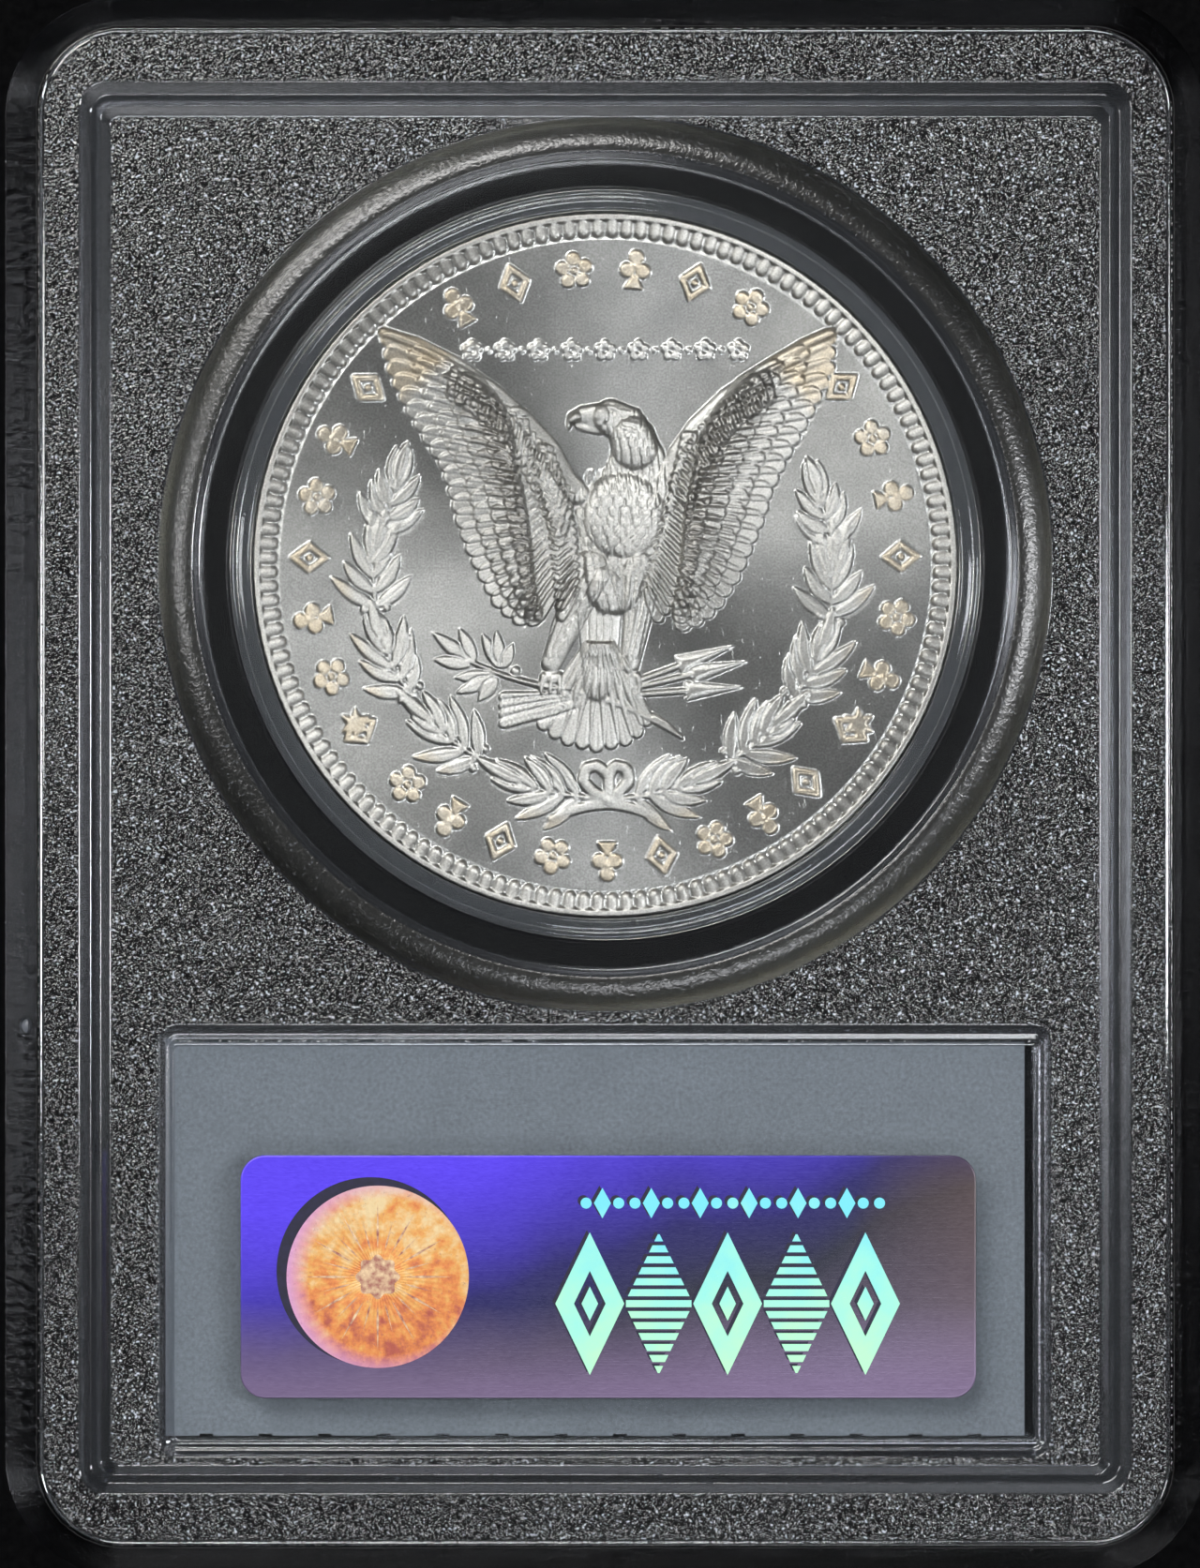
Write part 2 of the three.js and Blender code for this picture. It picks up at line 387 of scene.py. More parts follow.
def build_shell(name, is_back):
    skin = Skin()

    # the welded seam face, the side wall, and the edge of the frame
    inside = [(WALL, CEILING), (WALL, 0.0), (0.0, 0.0)]
    cavity, _ = skin.loft([outline(*p) for p in inside], CAVITY, False)
    side = [
        (0.0, 0.0), (0.0, 0.92), (0.03, 1.03), (0.1, 1.16), (1.78, 3.72), (1.84, 3.83),
        (1.91, 3.92), (2.0, 3.975), (2.1, TOP),
    ]
    skin.loft([outline(*p) for p in side], RIPPLED)
    lines = [(2.1, TOP), (2.17, TOP - 0.05), (2.25, TOP - 0.05), (2.32, TOP)]
    _, frame_outer = skin.loft([outline(*p) for p in lines], POLISHED)

    # the stippled frame and the polished step down to the panel
    drops = [
        (-0.1, 0.0), (-0.03, 0.015), (0.03, 0.06), (0.44, 0.47), (0.5, 0.52), (0.58, 0.54), (1.04, 0.55),
        (1.1, 0.57), (1.15, 0.63), (1.46, 1.02), (1.52, 1.08), (1.6, TOP - PANEL),
    ]
    step_outer, panel_edge = skin.loft([step(inset, TOP - drop) for inset, drop in drops], STEP)
    skin.band(frame_outer, step_outer, STIPPLED, False)

    # the bezel and the lens over the coin
    bezel = [
        (24.22, 0.0), (24.16, -0.03), (24.1, 0.02), (24.04, 0.14), (23.93, 0.29), (23.75, 0.46),
        (23.5, 0.62), (23.22, 0.74), (22.92, 0.83), (22.62, 0.88), (22.4, 0.89), (22.25, 0.87),
        (22.13, 0.8), (22.02, 0.52), (21.96, 0.44), (21.84, 0.4),
    ]
    bezel_looks = [STEP] * 2 + [BEZEL] * 9 + [STEP] * 4
    foot, lens_edge = skin.loft([circle(r, PANEL + z + GAP) for r, z in bezel], bezel_looks)
    skin.fill(lens_edge, look=POLISHED)

    # the label window
    drops = [
        (-0.06, 0.0), (0.0, 0.012), (0.05, 0.05), (0.27, 0.27), (0.33, 0.3), (0.46, 0.31), (0.52, 0.34),
        (0.6, 0.45), (0.66, 0.49), (0.74, PANEL - WINDOW),
    ]
    window_edge, window_floor = skin.loft([window(inset, PANEL - drop) for inset, drop in drops], STEP)
    skin.fill(window_floor, look=POLISHED)
    skin.fill(panel_edge, [foot, window_edge], STIPPLED)

    # inside: the coin well, the card's pocket and the ceiling between them
    well = [(WELL_R, CEILING), (WELL_R, 0.0), (LENS_R, 0.0), (LENS_R, LENS_UNDER)]
    well_outer, well_top = skin.loft([circle(r, z + GAP) for r, z in well], [CAVITY, CAVITY, INNER], False)
    skin.fill(well_top, look=INNER)
    walls = [(POCKET, 1.0, CEILING), (POCKET, 1.0, 0.0)]
    roof = [(POCKET_ROOF, 0.4, 0.0), (POCKET_ROOF, 0.4, WINDOW_UNDER)]
    pocket_outer, pocket_top = skin.loft([pocket_loop(*p) for p in walls + roof], INNER, False)
    skin.fill(cavity, [well_outer, pocket_outer], CAVITY)
    if is_back:
        skin.fill(pocket_top, look=INNER)
        gate = [(0.42, 2.0), (0.42, 2.95), (0.35, 3.06), (0.15, 3.12)]
        skin.capped([[(x, y, z) for x, y in round_loop(r, 16, *GATE_PLACE)] for r, z in gate], GATE, True)
    else:
        bed = [(BED, WINDOW_UNDER), (BED, BED_TOP), (BED_RECESS, BED_TOP), (BED_RECESS, WINDOW_UNDER)]
        bed_outer, bed_inner = skin.loft([pocket_loop(half, 0.4, z) for half, z in bed], INNER, False)
        skin.fill(pocket_top, [bed_outer], INNER)
        skin.fill(bed_inner, look=INNER)
    return skin.build(name, SHELL_LOOKS, turn_over=not is_back)


for shell_name, is_back in (("back_shell", True), ("front_shell", False)):
    shell = build_shell(shell_name + "_moulding", is_back)
    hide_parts(shell_name)
    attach(shell, "case")


# ------------ retaining ring
def build_ring():
    skin = Skin()
    inner, outer, half = 19.13, 20.3, 1.45  # the ring's two radii and half its height
    profile = [
        (inner, -half + 0.2), (inner + 0.06, -half + 0.07), (inner + 0.2, -half),
        (outer - 0.2, -half), (outer - 0.06, -half + 0.06), (outer, -half + 0.2),
        (outer, half - 0.2), (outer - 0.06, half - 0.06), (outer - 0.2, half),
        (outer - 0.42, half), (outer - 0.47, half - 0.04), (outer - 0.52, half),
        (inner + 0.2, half), (inner + 0.06, half - 0.07), (inner, half - 0.2),
    ]
    loops = [skin.loop(circle(r, z)) for r, z in profile]
    for i in range(len(loops)):
        skin.band(loops[i], loops[(i + 1) % len(loops)])
    return skin.build("coin_ring_clear", [ring_clear])


ring = build_ring()
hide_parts("coin_ring")
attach(ring, "case")


# ------------ label card
def card_stock():
    n = Nodes("card_stock")
    where = n.position()
    cloud = n.noise(where, 0.35, 3.0)
    fleck = n.noise(where, 4.5, 4.0, Roughness=0.7)
    tone = n.ramp(fleck, [(0.3, (0.045, 0.053, 0.062)), (0.7, (0.082, 0.094, 0.107))])
    shade = n.ramp(cloud, [(0.3, (0.9, 0.9, 0.9)), (0.7, (1.0, 1.0, 1.0))])
    colour = n.mix(1.0, tone, shade, "MULTIPLY")
    fibre = n.noise(n.position((1.0, 2.5, 1.0)), 5.0, 4.0)
    return n.surface(Base_Color=colour, Roughness=0.85, Normal=n.bump(fibre, 0.35, 0.03))


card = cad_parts["label_card"]
card.data.materials.clear()
card.data.materials.append(card_stock())


# ------------ seal sticker
sticker_low, sticker_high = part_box("seal_sticker")
STICKER_X = (sticker_low[0] + sticker_high[0]) / 2 / MM
STICKER_Y = (sticker_low[1] + sticker_high[1]) / 2 / MM
STICKER_TOP = sticker_high[2] / MM - SEAM
STICKER_LOW = sticker_low[2] / MM - SEAM
STICKER_HALF = (39.7 / 2, 13.1 / 2)
DISC_X = STICKER_X - 12.45


def foil():
    """Metallised film whose colour drifts from violet blue through navy to mauve grey."""
    n = Nodes("seal_foil")
    where = n.position(offset=(-STICKER_X, -STICKER_Y, 0))
    x, y, _ = n.split(where)
    drift = n.noise(where, 0.12, 2.0)
    slant = n.math("ADD", n.linear(x, 0.016, 0.46), n.linear(y, -0.05, 0.0))
    colour = n.ramp(n.math("ADD", slant, n.linear(drift, 0.25, -0.125)), [
        (0.0, (0.1, 0.05, 0.85)), (0.2, (0.06, 0.035, 0.5)), (0.4, (0.02, 0.017, 0.13)),
        (0.58, (0.026, 0.028, 0.05)), (0.78, (0.09, 0.075, 0.12)), (1.0, (0.19, 0.16, 0.25)),
    ])
    tarnish = n.remap(n.linear(drift, 8.0, x), 17.0, 26.0)
    colour = n.mix(n.times(tarnish, 0.6), colour, (0.11, 0.07, 0.06))
    # Painted sheen: the foil is mixed toward a paler lavender towards the bottom.
    painted_sheen = n.remap(n.linear(drift, 2.0, n.times(y, -1.0)), 2.5, 7.0)
    colour = n.mix(n.times(painted_sheen, 0.8), colour, (0.2, 0.14, 0.26))
    grain = n.noise(n.position((1.2, 3.0, 1.0)), 3.0, 5.0)
    scratch = n.noise(n.position((0.3, 14.0, 1.0)), 1.0, 2.0)
    return n.surface(
        Base_Color=colour, Metallic=0.3, Roughness=n.linear(grain, 0.25, 0.22),
        Normal=n.bump(n.math("ADD", grain, scratch), 0.3, 0.03), Coat_Weight=0.3, Coat_Roughness=0.2,
    )


def print_foil(name, above, below):
    """The bright parts of the sticker's pattern, from one colour above to another below."""
    n = Nodes(name)
    where = n.position(offset=(-STICKER_X, -STICKER_Y, 0))
    drift = n.noise(where, 0.5, 3.0)
    place = n.linear(n.split(where)[1], -0.09, n.times(drift, 0.9))
    colour = n.ramp(place, [(0.1, above), (0.9, below)])
    normal = n.bump(n.noise(where, 6.0, 3.0), 0.25, 0.02)
    return n.surface(Base_Color=colour, Metallic=0.15, Roughness=0.32, Normal=normal)


def disc_foil():
    """The round seal: worn warm foil with fine rays, gold above and orange and pink below."""
    n = Nodes("seal_disc_foil")
    where = n.position(offset=(-DISC_X, -STICKER_Y, 0))
    x, y, _ = n.split(where)
    angle, radius = n.polar(x, y)
    rays = n.math("SINE", n.times(angle, 60.0))
    stain = n.noise(where, 0.9, 5.0, Roughness=0.65)
    spots = n.noise(where, 4.0, 4.0, Roughness=0.7)
    tone = n.linear(stain, 1.3, n.linear(y, 0.04, -0.15))
    colour = n.ramp(tone, [
        (0.22, (0.4, 0.09, 0.06)), (0.4, (0.66, 0.22, 0.06)),
        (0.55, (0.7, 0.36, 0.1)), (0.78, (0.72, 0.55, 0.3)),
    ])
    edge = n.remap(n.linear(x, -0.12, radius), 4.2, 5.4)
    colour = n.mix(edge, colour, (0.6, 0.3, 0.5))
    colour = n.mix(n.times(n.remap(spots, 0.6, 0.7), 0.45), colour, (0.25, 0.1, 0.12))
    height = n.linear(rays, 0.3, n.times(spots, 2.0))
    return n.surface(Base_Color=colour, Metallic=0.35, Roughness=0.4, Normal=n.bump(height, 0.5, 0.03))


def flat_ink(name, low, high):
    n = Nodes(name)
    colour = n.ramp(n.noise(n.position(), 3.0, 3.0), [(0.3, low), (0.7, high)])
    return n.surface(Base_Color=colour, Roughness=0.4)


def film(name, loops, low, high, material):
    """Thin flat pieces with the given outlines, as one object. Heights are above the sticker."""
    skin = Skin()
    for points in loops:
        skin.capped([[(x, y, STICKER_TOP + z) for x, y in points] for z in (low, high)])
    return skin.build(name, [material])


def build_sticker():
    skin = Skin()
    half_x, half_y = STICKER_HALF
    rings = []
    for inset, z in (
        (0.0, STICKER_LOW), (0.0, STICKER_TOP - 0.03), (0.03, STICKER_TOP - 0.008), (0.08, STICKER_TOP),
    ):
        ring = rectangle(half_x - inset, half_y - inset, 1.33 - inset, z, STICKER_Y)
        rings.append([(px + STICKER_X, py, pz) for px, py, pz in ring])
    skin.capped(rings, smooth=True)
    return skin.build("seal_sticker_film", [foil()])


def diamond(x, y, wide, tall):
    return [(x + wide, y), (x, y + tall), (x - wide, y), (x, y - tall)]


def seal_pattern():
    """A row of beads over a row of tall lozenges, plain and striped in turn. It says nothing."""
    loops = []
    for i in range(19):
        cx, cy = STICKER_X - 1.2 + i * 0.88, STICKER_Y + 3.98
        loops.append(diamond(cx, cy, 0.46, 0.82) if i % 3 == 1 else round_loop(0.3, 16, cx, cy))
    wide, tall, stripes = 1.86, 3.85, 13
    for i in range(5):
        cx = STICKER_X - 1.0 + i * 3.72
        cy = STICKER_Y - 1.45
        if i % 2 == 0:
            outer = diamond(cx, cy, wide, tall)
            inner = diamond(cx, cy, wide * 0.46, tall * 0.46)
            for k in range(4):
                j = (k + 1) % 4
                loops.append([outer[k], outer[j], inner[j], inner[k]])
            loops.append(diamond(cx, cy, wide * 0.24, tall * 0.24))
            continue
        for k in range(stripes):
            y0 = -tall + (2 * tall) * (k + 0.18) / stripes
            y1 = -tall + (2 * tall) * (k + 0.82) / stripes
            half0, half1 = wide * (1 - abs(y0) / tall), wide * (1 - abs(y1) / tall)
            stripe = ((half0, y0), (half1, y1), (-half1, y1), (-half0, y0))
            loops.append([(cx + x, cy + y) for x, y in stripe])
    return loops


def seal_disc(radius, wave=0.0, teeth=0):
    angles = [2 * math.pi * i / 144 for i in range(144)]
    return [polar(radius * (1 + wave * math.cos(teeth * a)), a, DISC_X, STICKER_Y) for a in angles]


def seal_ray(index):
    """One of 24 thin darts round the seal's middle, long and short in turn."""
    a = 2 * math.pi * index / 24
    near, far, wide = (1.5, 3.1, 0.05) if index % 2 else (1.5, 4.0, 0.07)
    c, d = math.cos(a), math.sin(a)
    corners = ((near, 0.0), (0.6 * far, wide), (far, 0.0), (0.6 * far, -wide))
    return [(DISC_X + u * c - v * d, STICKER_Y + u * d + v * c) for u, v in corners]


def moved(loops, x, y):
    return [[(px + x, py + y) for px, py in loop] for loop in loops]


sticker = build_sticker()
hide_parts("seal_sticker")
mint = print_foil("seal_mint", (0.2, 0.78, 0.9), (0.5, 1.0, 0.62))
pattern = film("seal_pattern", seal_pattern(), 0.0, 0.012, mint)
navy = flat_ink("seal_navy", (0.004, 0.004, 0.02), (0.01, 0.008, 0.04))
pattern_shade = film("seal_pattern_shade", moved(seal_pattern(), -0.16, 0.13), 0.0, 0.004, navy)
shade = film("seal_disc_shade", moved([seal_disc(5.08)], -0.38, 0.3), 0.0, 0.008, navy)
disc = film("seal_disc", [seal_disc(4.92)], 0.0, 0.03, disc_foil())
ray_ink = flat_ink("seal_ray_ink", (0.3, 0.08, 0.07), (0.8, 0.6, 0.36))
rays = [seal_ray(i) for i in range(24)] + [seal_disc(1.1, 0.1, 8)]
rosette = film("seal_rays", rays, 0.03, 0.045, ray_ink)
for thing in (sticker, pattern, pattern_shade, shade, disc, rosette):
    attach(thing, "case")


# ------------ coin relief
def bezier(a, b, c, steps=14):
    t = np.linspace(0, 1, steps)[:, None]
    a, b, c = (np.array(p, float) for p in (a, b, c))
    return (1 - t) ** 2 * a + 2 * t * (1 - t) * b + t ** 2 * c


def along(points, count):
    """count points at equal steps along a line of points."""
    points = np.array(points, float)
    lengths = np.hypot(*np.diff(points, axis=0).T)
    place = np.concatenate([[0], np.cumsum(lengths)])
    want = np.linspace(0, place[-1], count)
    return np.stack([np.interp(want, place, points[:, k]) for k in (0, 1)], 1)


def gap_to_line(x, y, a, b):
    """How far along the line from a to b each point lies, from 0 to 1, and how far from that line."""
    (ax, ay), (bx, by) = a, b
    span = max((bx - ax) ** 2 + (by - ay) ** 2, 1e-9)
    t = np.clip(((x - ax) * (bx - ax) + (y - ay) * (by - ay)) / span, 0, 1)
    return t, np.hypot(x - ax - t * (bx - ax), y - ay - t * (by - ay))


class Relief:
    """A height map over the coin's face, in millimetres above the field."""

    def __init__(self, pitch=0.04):
        count = int(2 * (COIN_R + 0.15) / pitch)
        self.pitch = pitch
        self.axis = (np.arange(count) - (count - 1) / 2) * pitch
        self.height = np.zeros((count, count))
        self.base = self.height

    def settle(self):
        """What is stamped next stands on what is there now."""
        self.base = self.height.copy()

    def patch(self, low_x, high_x, low_y, high_y):
        start = np.searchsorted(self.axis, (low_x, low_y))
        end = np.searchsorted(self.axis, (high_x, high_y))
        area = np.s_[start[1]:end[1], start[0]:end[0]]
        x, y = np.meshgrid(self.axis[start[0]:end[0]], self.axis[start[1]:end[1]])
        return area, x, y

    def put(self, area, inside, height, moat=None):
        """Lays a shape over what is there. moat marks the narrow line cut round it."""
        here = self.height[area]
        if moat is not None:
            sunk = self.base[area] + (here - self.base[area]) * 0.35 - 0.035
            here = np.where(moat & ~inside, np.minimum(here, np.maximum(sunk, -0.04)), here)
        self.height[area] = np.where(inside, np.maximum(here, self.base[area] + height), here)

    def blade(self, root, tip, width, height, leaf=False, bend=0.0, barbs=0.0, rib=0.0, base=0.0):
        """A feather or a leaf from root to tip. width is half the whole."""
        root, tip = np.array(root, float), np.array(tip, float)
        length = math.hypot(*(tip - root))
        ux, uy = (tip - root) / length
        low = np.minimum(root, tip) - width - abs(bend) - 0.1
        high = np.maximum(root, tip) + width + abs(bend) + 0.1
        area, x, y = self.patch(low[0], high[0], low[1], high[1])
        t = ((x - root[0]) * ux + (y - root[1]) * uy) / length
        s = -(x - root[0]) * uy + (y - root[1]) * ux - bend * 4 * t * (1 - t)
        t = np.clip(t, 0, 1)
        if leaf:
            half = width * np.sin(np.pi * np.clip(t, 0, 1) ** 0.85) ** 0.8
        else:
            blunt = max(0.5, 1 - 0.9 * width / length)
            end = np.clip((t - blunt) / (1 - blunt), 0, 1)
            half = width * np.minimum(1, 0.55 + t * 1.2) * np.sqrt(1 - end ** 2)
        half = np.maximum(half, 1e-4)
        across = np.clip(np.abs(s) / half, 0, 1)
        inside = (np.abs(s) < half) & (t > 0) & (t < 1)
        rise = np.sqrt(1 - across ** 2) * 0.6 + 0.4 * (1 - across ** 6)
        if leaf:
            rise = 0.45 + 0.55 * (1 - across) ** 0.7
        rise = rise - rib * np.exp(-(s / 0.055) ** 2)
        rise = rise + barbs * np.sin((np.abs(s) * 1.1 - t * length) * 2 * np.pi / 0.27)
        moat = (np.abs(s) < half + 0.075) & (t > 0.12) & (half > 0.01)
        self.put(area, inside, base + height * rise, moat)

    def stroke(self, points, start, end, height, flat=0.0):
        """A rounded ridge along a line of points; its half width goes from start to end."""
        points = np.array(points, float)
        widest = max(start, end) + 0.05
        low, high = points.min(0) - widest, points.max(0) + widest
        area, x, y = self.patch(low[0], high[0], low[1], high[1])
        best = np.zeros_like(x)
        pieces = len(points) - 1
        for i in range(pieces):
            t, gap = gap_to_line(x, y, points[i], points[i + 1])
            half = start + (end - start) * (i + t) / pieces
            across = np.clip(gap / half, 0, 1)
            dome = np.sqrt(1 - across ** 2) * (1 - flat) + flat * (1 - across ** 8)
            best = np.maximum(best, np.where(gap < half, dome, 0))
        self.put(area, best > 0, height * best)

    def polygon(self, corners, height, edge=0.07):
        """A flat-topped shape with the given corners, in order."""
        corners = np.array(corners, float)
        low, high = corners.min(0) - 0.1, corners.max(0) + 0.1
        area, x, y = self.patch(low[0], high[0], low[1], high[1])
        inside = np.zeros(x.shape, bool)
        gap = np.full(x.shape, 9.0)
        for i in range(len(corners)):
            (ax, ay), (bx, by) = a, b = corners[i], corners[(i + 1) % len(corners)]
            crosses = (ay > y) != (by > y)
            slope = (bx - ax) / (by - ay) if by != ay else 0.0
            inside ^= crosses & (x < ax + (y - ay) * slope)
            gap = np.minimum(gap, gap_to_line(x, y, a, b)[1])
        rise = np.clip(gap / edge, 0, 1)
        self.put(area, inside, height * (0.35 + 0.65 * rise))

    def dome(self, x0, y0, half_x, half_y, height, power=0.5):
        reach = max(half_x, half_y) + 0.05
        area, x, y = self.patch(x0 - reach, x0 + reach, y0 - reach, y0 + reach)
        q = ((x - x0) / half_x) ** 2 + ((y - y0) / half_y) ** 2
        self.put(area, q < 1, height * np.clip(1 - q, 0, 1) ** power)

    def dot(self, place, radius, height, power=0.5):
        self.dome(*place, radius, radius, height, power)

    def sample(self, x, y):
        """The height at any points, between the map's own."""
        column = np.clip((x - self.axis[0]) / self.pitch, 0, len(self.axis) - 2)
        row = np.clip((y - self.axis[0]) / self.pitch, 0, len(self.axis) - 2)
        i, j = row.astype(int), column.astype(int)
        v, u = row - i, column - j
        h = self.height
        top = h[i, j] * (1 - u) + h[i, j + 1] * u
        bottom = h[i + 1, j] * (1 - u) + h[i + 1, j + 1] * u
        return top * (1 - v) + bottom * v


def soften(height):
    """Rounds the map's sharpest edges, as a struck coin's are."""
    near = [np.roll(height, way, axis) for axis in (0, 1) for way in (1, -1)]
    return height * 0.4 + 0.15 * (near[0] + near[1]) + 0.15 * (near[2] + near[3])


def star(x, y, radius, turn=0.0):
    """The corners of a six-pointed star."""
    reach = (radius, radius * 0.55)
    return [polar(reach[i % 2], turn + math.pi * i / 6 + math.pi / 2, x, y) for i in range(12)]


def wing(relief, outer, inner, edge, flip):
    """A raised wing: rows of feathers from the inner line out to the tips, and the leading edge."""
    rows = ((1.0, 23, 0.1, 0.02), (0.74, 22, 0.075, 0.055), (0.5, 20, 0.065, 0.08), (0.28, 18, 0.06, 0.1))
    for reach, count, rise, base in rows:
        tips, roots = along(outer, count), along(inner, count)
        for i in reversed(range(count)):
            share = i / (count - 1)
            root, tip = roots[i], roots[i] + (tips[i] - roots[i]) * reach
            wide = 0.5 + 0.08 * math.sin(share * math.pi)
            relief.blade(
                root, tip, wide, rise,
                bend=flip * 0.25 * (1 - share), barbs=0.05, rib=0.14, base=base,
            )
    relief.stroke(edge, 0.26, 0.62, 0.25)


def shoulder(relief, outer, inner, count, width, rise, base):
    """A row of short covert feathers that hang from inner towards outer."""
    tips, roots = along(outer, count), along(inner, count)
    for i in reversed(range(count)):
        relief.blade(roots[i], tips[i], width, rise, barbs=0.1, rib=0.15, base=base)


def eagle(relief):
    blade, stroke = relief.blade, relief.stroke
    # left wing
    outer = [
        (-12.1, 12.4), (-11.75, 10.5), (-10.9, 8.7), (-9.95, 7.1), (-8.9, 5.4), (-8.4, 3.7), (-8.05, 2.2),
        (-7.5, 0.7), (-6.8, -0.8), (-6.0, -2.3), (-4.9, -3.2), (-4.0, -3.3),
    ]
    inner = [
        (-6.3, 9.1), (-5.4, 8.2), (-5.0, 6.9), (-4.9, 5.6), (-4.5, 4.2), (-4.2, 2.6),
        (-4.0, 0.8), (-3.9, -0.9), (-3.8, -2.2),
    ]
    edge = [
        (-12.0, 12.6), (-10.2, 12.0), (-8.1, 10.9), (-5.9, 9.3), (-4.2, 7.7), (-2.9, 6.2),
        (-2.2, 4.7), (-1.5, 3.9),
    ]
    wing(relief, outer, inner, edge, -1)
    shoulder(
        relief, [(-8.3, 8.9), (-6.4, 7.6), (-5.0, 6.0), (-3.9, 4.2), (-3.1, 2.4), (-2.6, 1.0)],
        [(-8.1, 10.7), (-5.9, 9.1), (-4.2, 7.5), (-2.9, 6.0), (-2.3, 4.7), (-1.8, 3.9)], 20, 0.33, 0.07, 0.11,
    )
    shoulder(
        relief, [(-5.2, 8.3), (-5.2, 6.0), (-4.9, 3.8), (-4.3, 1.0), (-4.0, -1.2), (-3.7, -3.0)],
        [(-4.2, 8.2), (-3.9, 6.4), (-3.5, 4.4), (-3.1, 2.4), (-2.8, 0.6), (-2.5, -1.0)], 19, 0.3, 0.07, 0.13,
    )
    shoulder(
        relief, [(-3.7, 6.4), (-3.6, 4.6), (-3.2, 2.4), (-2.9, 0.6), (-2.7, -1.2), (-2.5, -3.0)],
        [(-2.8, 6.2), (-2.3, 4.9), (-1.9, 3.5), (-1.6, 2.0), (-1.5, 0.4), (-1.5, -1.2)], 18, 0.28, 0.07, 0.15,
    )

    # right wing
    outer = [
        (12.45, 12.5), (12.4, 10.7), (11.6, 9.0), (10.7, 7.3), (9.8, 5.6), (9.1, 4.1), (8.75, 2.7),
        (8.1, 1.1), (7.4, -0.6), (6.4, -2.2), (5.4, -3.2), (4.3, -3.6),
    ]
    inner = [
        (6.9, 9.1), (5.8, 8.0), (5.2, 6.8), (4.9, 5.6), (4.6, 4.2), (4.3, 2.8), (4.2, 1.2), (4.1, -0.4),
        (4.0, -1.9),
    ]
    edge = [
        (12.3, 12.6), (10.7, 11.9), (8.6, 10.6), (6.5, 9.1), (4.9, 7.5), (3.9, 6.0), (3.4, 4.6), (3.3, 3.4),
    ]
    wing(relief, outer, inner, edge, 1)
    shoulder(
        relief, [(9.0, 8.7), (7.2, 7.4), (6.0, 6.0), (5.2, 4.4), (4.7, 3.0)],
        [(8.6, 10.4), (6.5, 8.9), (4.9, 7.3), (4.0, 5.9), (3.5, 4.6)], 17, 0.33, 0.07, 0.11,
    )
    shoulder(
        relief, [(5.0, 6.8), (5.1, 5.0), (4.8, 3.2), (4.4, 1.2), (4.1, -0.8), (3.6, -2.4), (3.0, -3.1)],
        [(4.1, 7.0), (3.8, 5.6), (3.5, 4.2), (3.2, 2.6), (2.8, 1.2), (2.4, -0.2), (2.2, -1.2)],
        19, 0.33, 0.08, 0.11,
    )

    # tail fan, then the legs and the body over it
    tips = along([(-3.5, -8.9), (-2.4, -9.7), (-0.4, -10.15), (1.5, -9.7), (2.35, -8.7)], 9)
    for i, tip in enumerate(tips):
        blade((-0.3 + (i - 4) * 0.14, -4.2), tip, 0.42, 0.13, barbs=0.09, rib=0.2)
    stroke([(-0.3, -1.5), (-0.3, -4.4), (-0.4, -6.6)], 1.35, 0.75, 0.17)
    stroke([(-0.9, -0.4), (-1.9, -2.8), (-2.9, -5.3)], 1.15, 0.55, 0.24)
    stroke([(2.0, -0.4), (1.8, -2.6), (1.35, -5.4)], 1.05, 0.5, 0.24)
    stroke([(0.45, -1.2), (0.6, 0.0), (0.75, 1.4), (0.85, 2.5)], 1.5, 2.45, 0.27, 0.45)
    stroke([(1.0, 2.6), (1.5, 4.2), (1.75, 5.6), (1.55, 6.8)], 2.2, 1.2, 0.29, 0.3)
    stroke([(1.6, 6.4), (1.15, 7.5), (0.3, 8.0)], 1.25, 0.95, 0.28, 0.3)
    stroke([(-0.4, 8.1), (-1.2, 8.1), (-1.7, 7.95)], 0.62, 0.36, 0.22)
    stroke([(-1.55, 8.0), (-1.92, 7.75), (-1.98, 7.4)], 0.27, 0.08, 0.2)
    stroke([(-0.3, 7.35), (-1.0, 7.38), (-1.5, 7.5)], 0.34, 0.14, 0.15)

    # small feathers on the body, the neck and the legs
    relief.settle()
    scales = {"barbs": 0.2, "rib": 0.35}
    for row, y in enumerate(np.arange(-2.2, 4.6, 0.52)):
        half = 2.25 * math.sqrt(max(0.05, 1 - ((y - 1.6) / 4.6) ** 2))
        count = max(2, int(half * 2 / 0.62)) + row % 2
        for i in range(count):
            x = 0.75 + (i - (count - 1) / 2) * 0.62
            lean = 0.12 * math.sin(7.3 * i + 3.1 * row)
            blade((x, y + 0.6), (x + lean, y - 0.5), 0.3, 0.05, **scales)
    for row in range(8):
        y = 4.4 + row * 0.48
        middle, half = 1.55 - 0.03 * (row - 3) ** 2, 1.5 - 0.09 * row
        for i in range(5):
            x = middle + (i - 2) * half / 2.3
            blade((x, y + 0.7), (x + 0.25 - 0.05 * row, y - 0.5), 0.2, 0.045, **scales)
    for i in range(7):
        a = 1.9 - i * 0.36
        x, y = 0.35 + 1.15 * math.cos(a), 7.75 + 0.95 * math.sin(a)
        blade((x - 0.65, y - 0.05), (x + 0.3, y - 0.3), 0.14, 0.035, rib=0.3)
    for top, foot in (((-0.9, -0.6), (-2.75, -5.0)), ((2.0, -0.6), (1.4, -5.0))):
        for row in range(8):
            t = row / 8
            y = top[1] + (foot[1] - top[1]) * t
            for i in (-1, 0, 1):
                x = top[0] + (foot[0] - top[0]) * t + (0.62 - 0.35 * t) * i
                blade((x, y + 0.4), (x - 0.2, y - 0.6), 0.22, 0.042, barbs=0.2, rib=0.3)
    for row in range(5):
        y = -3.0 - row * 0.55
        for i in (-1, 0, 1):
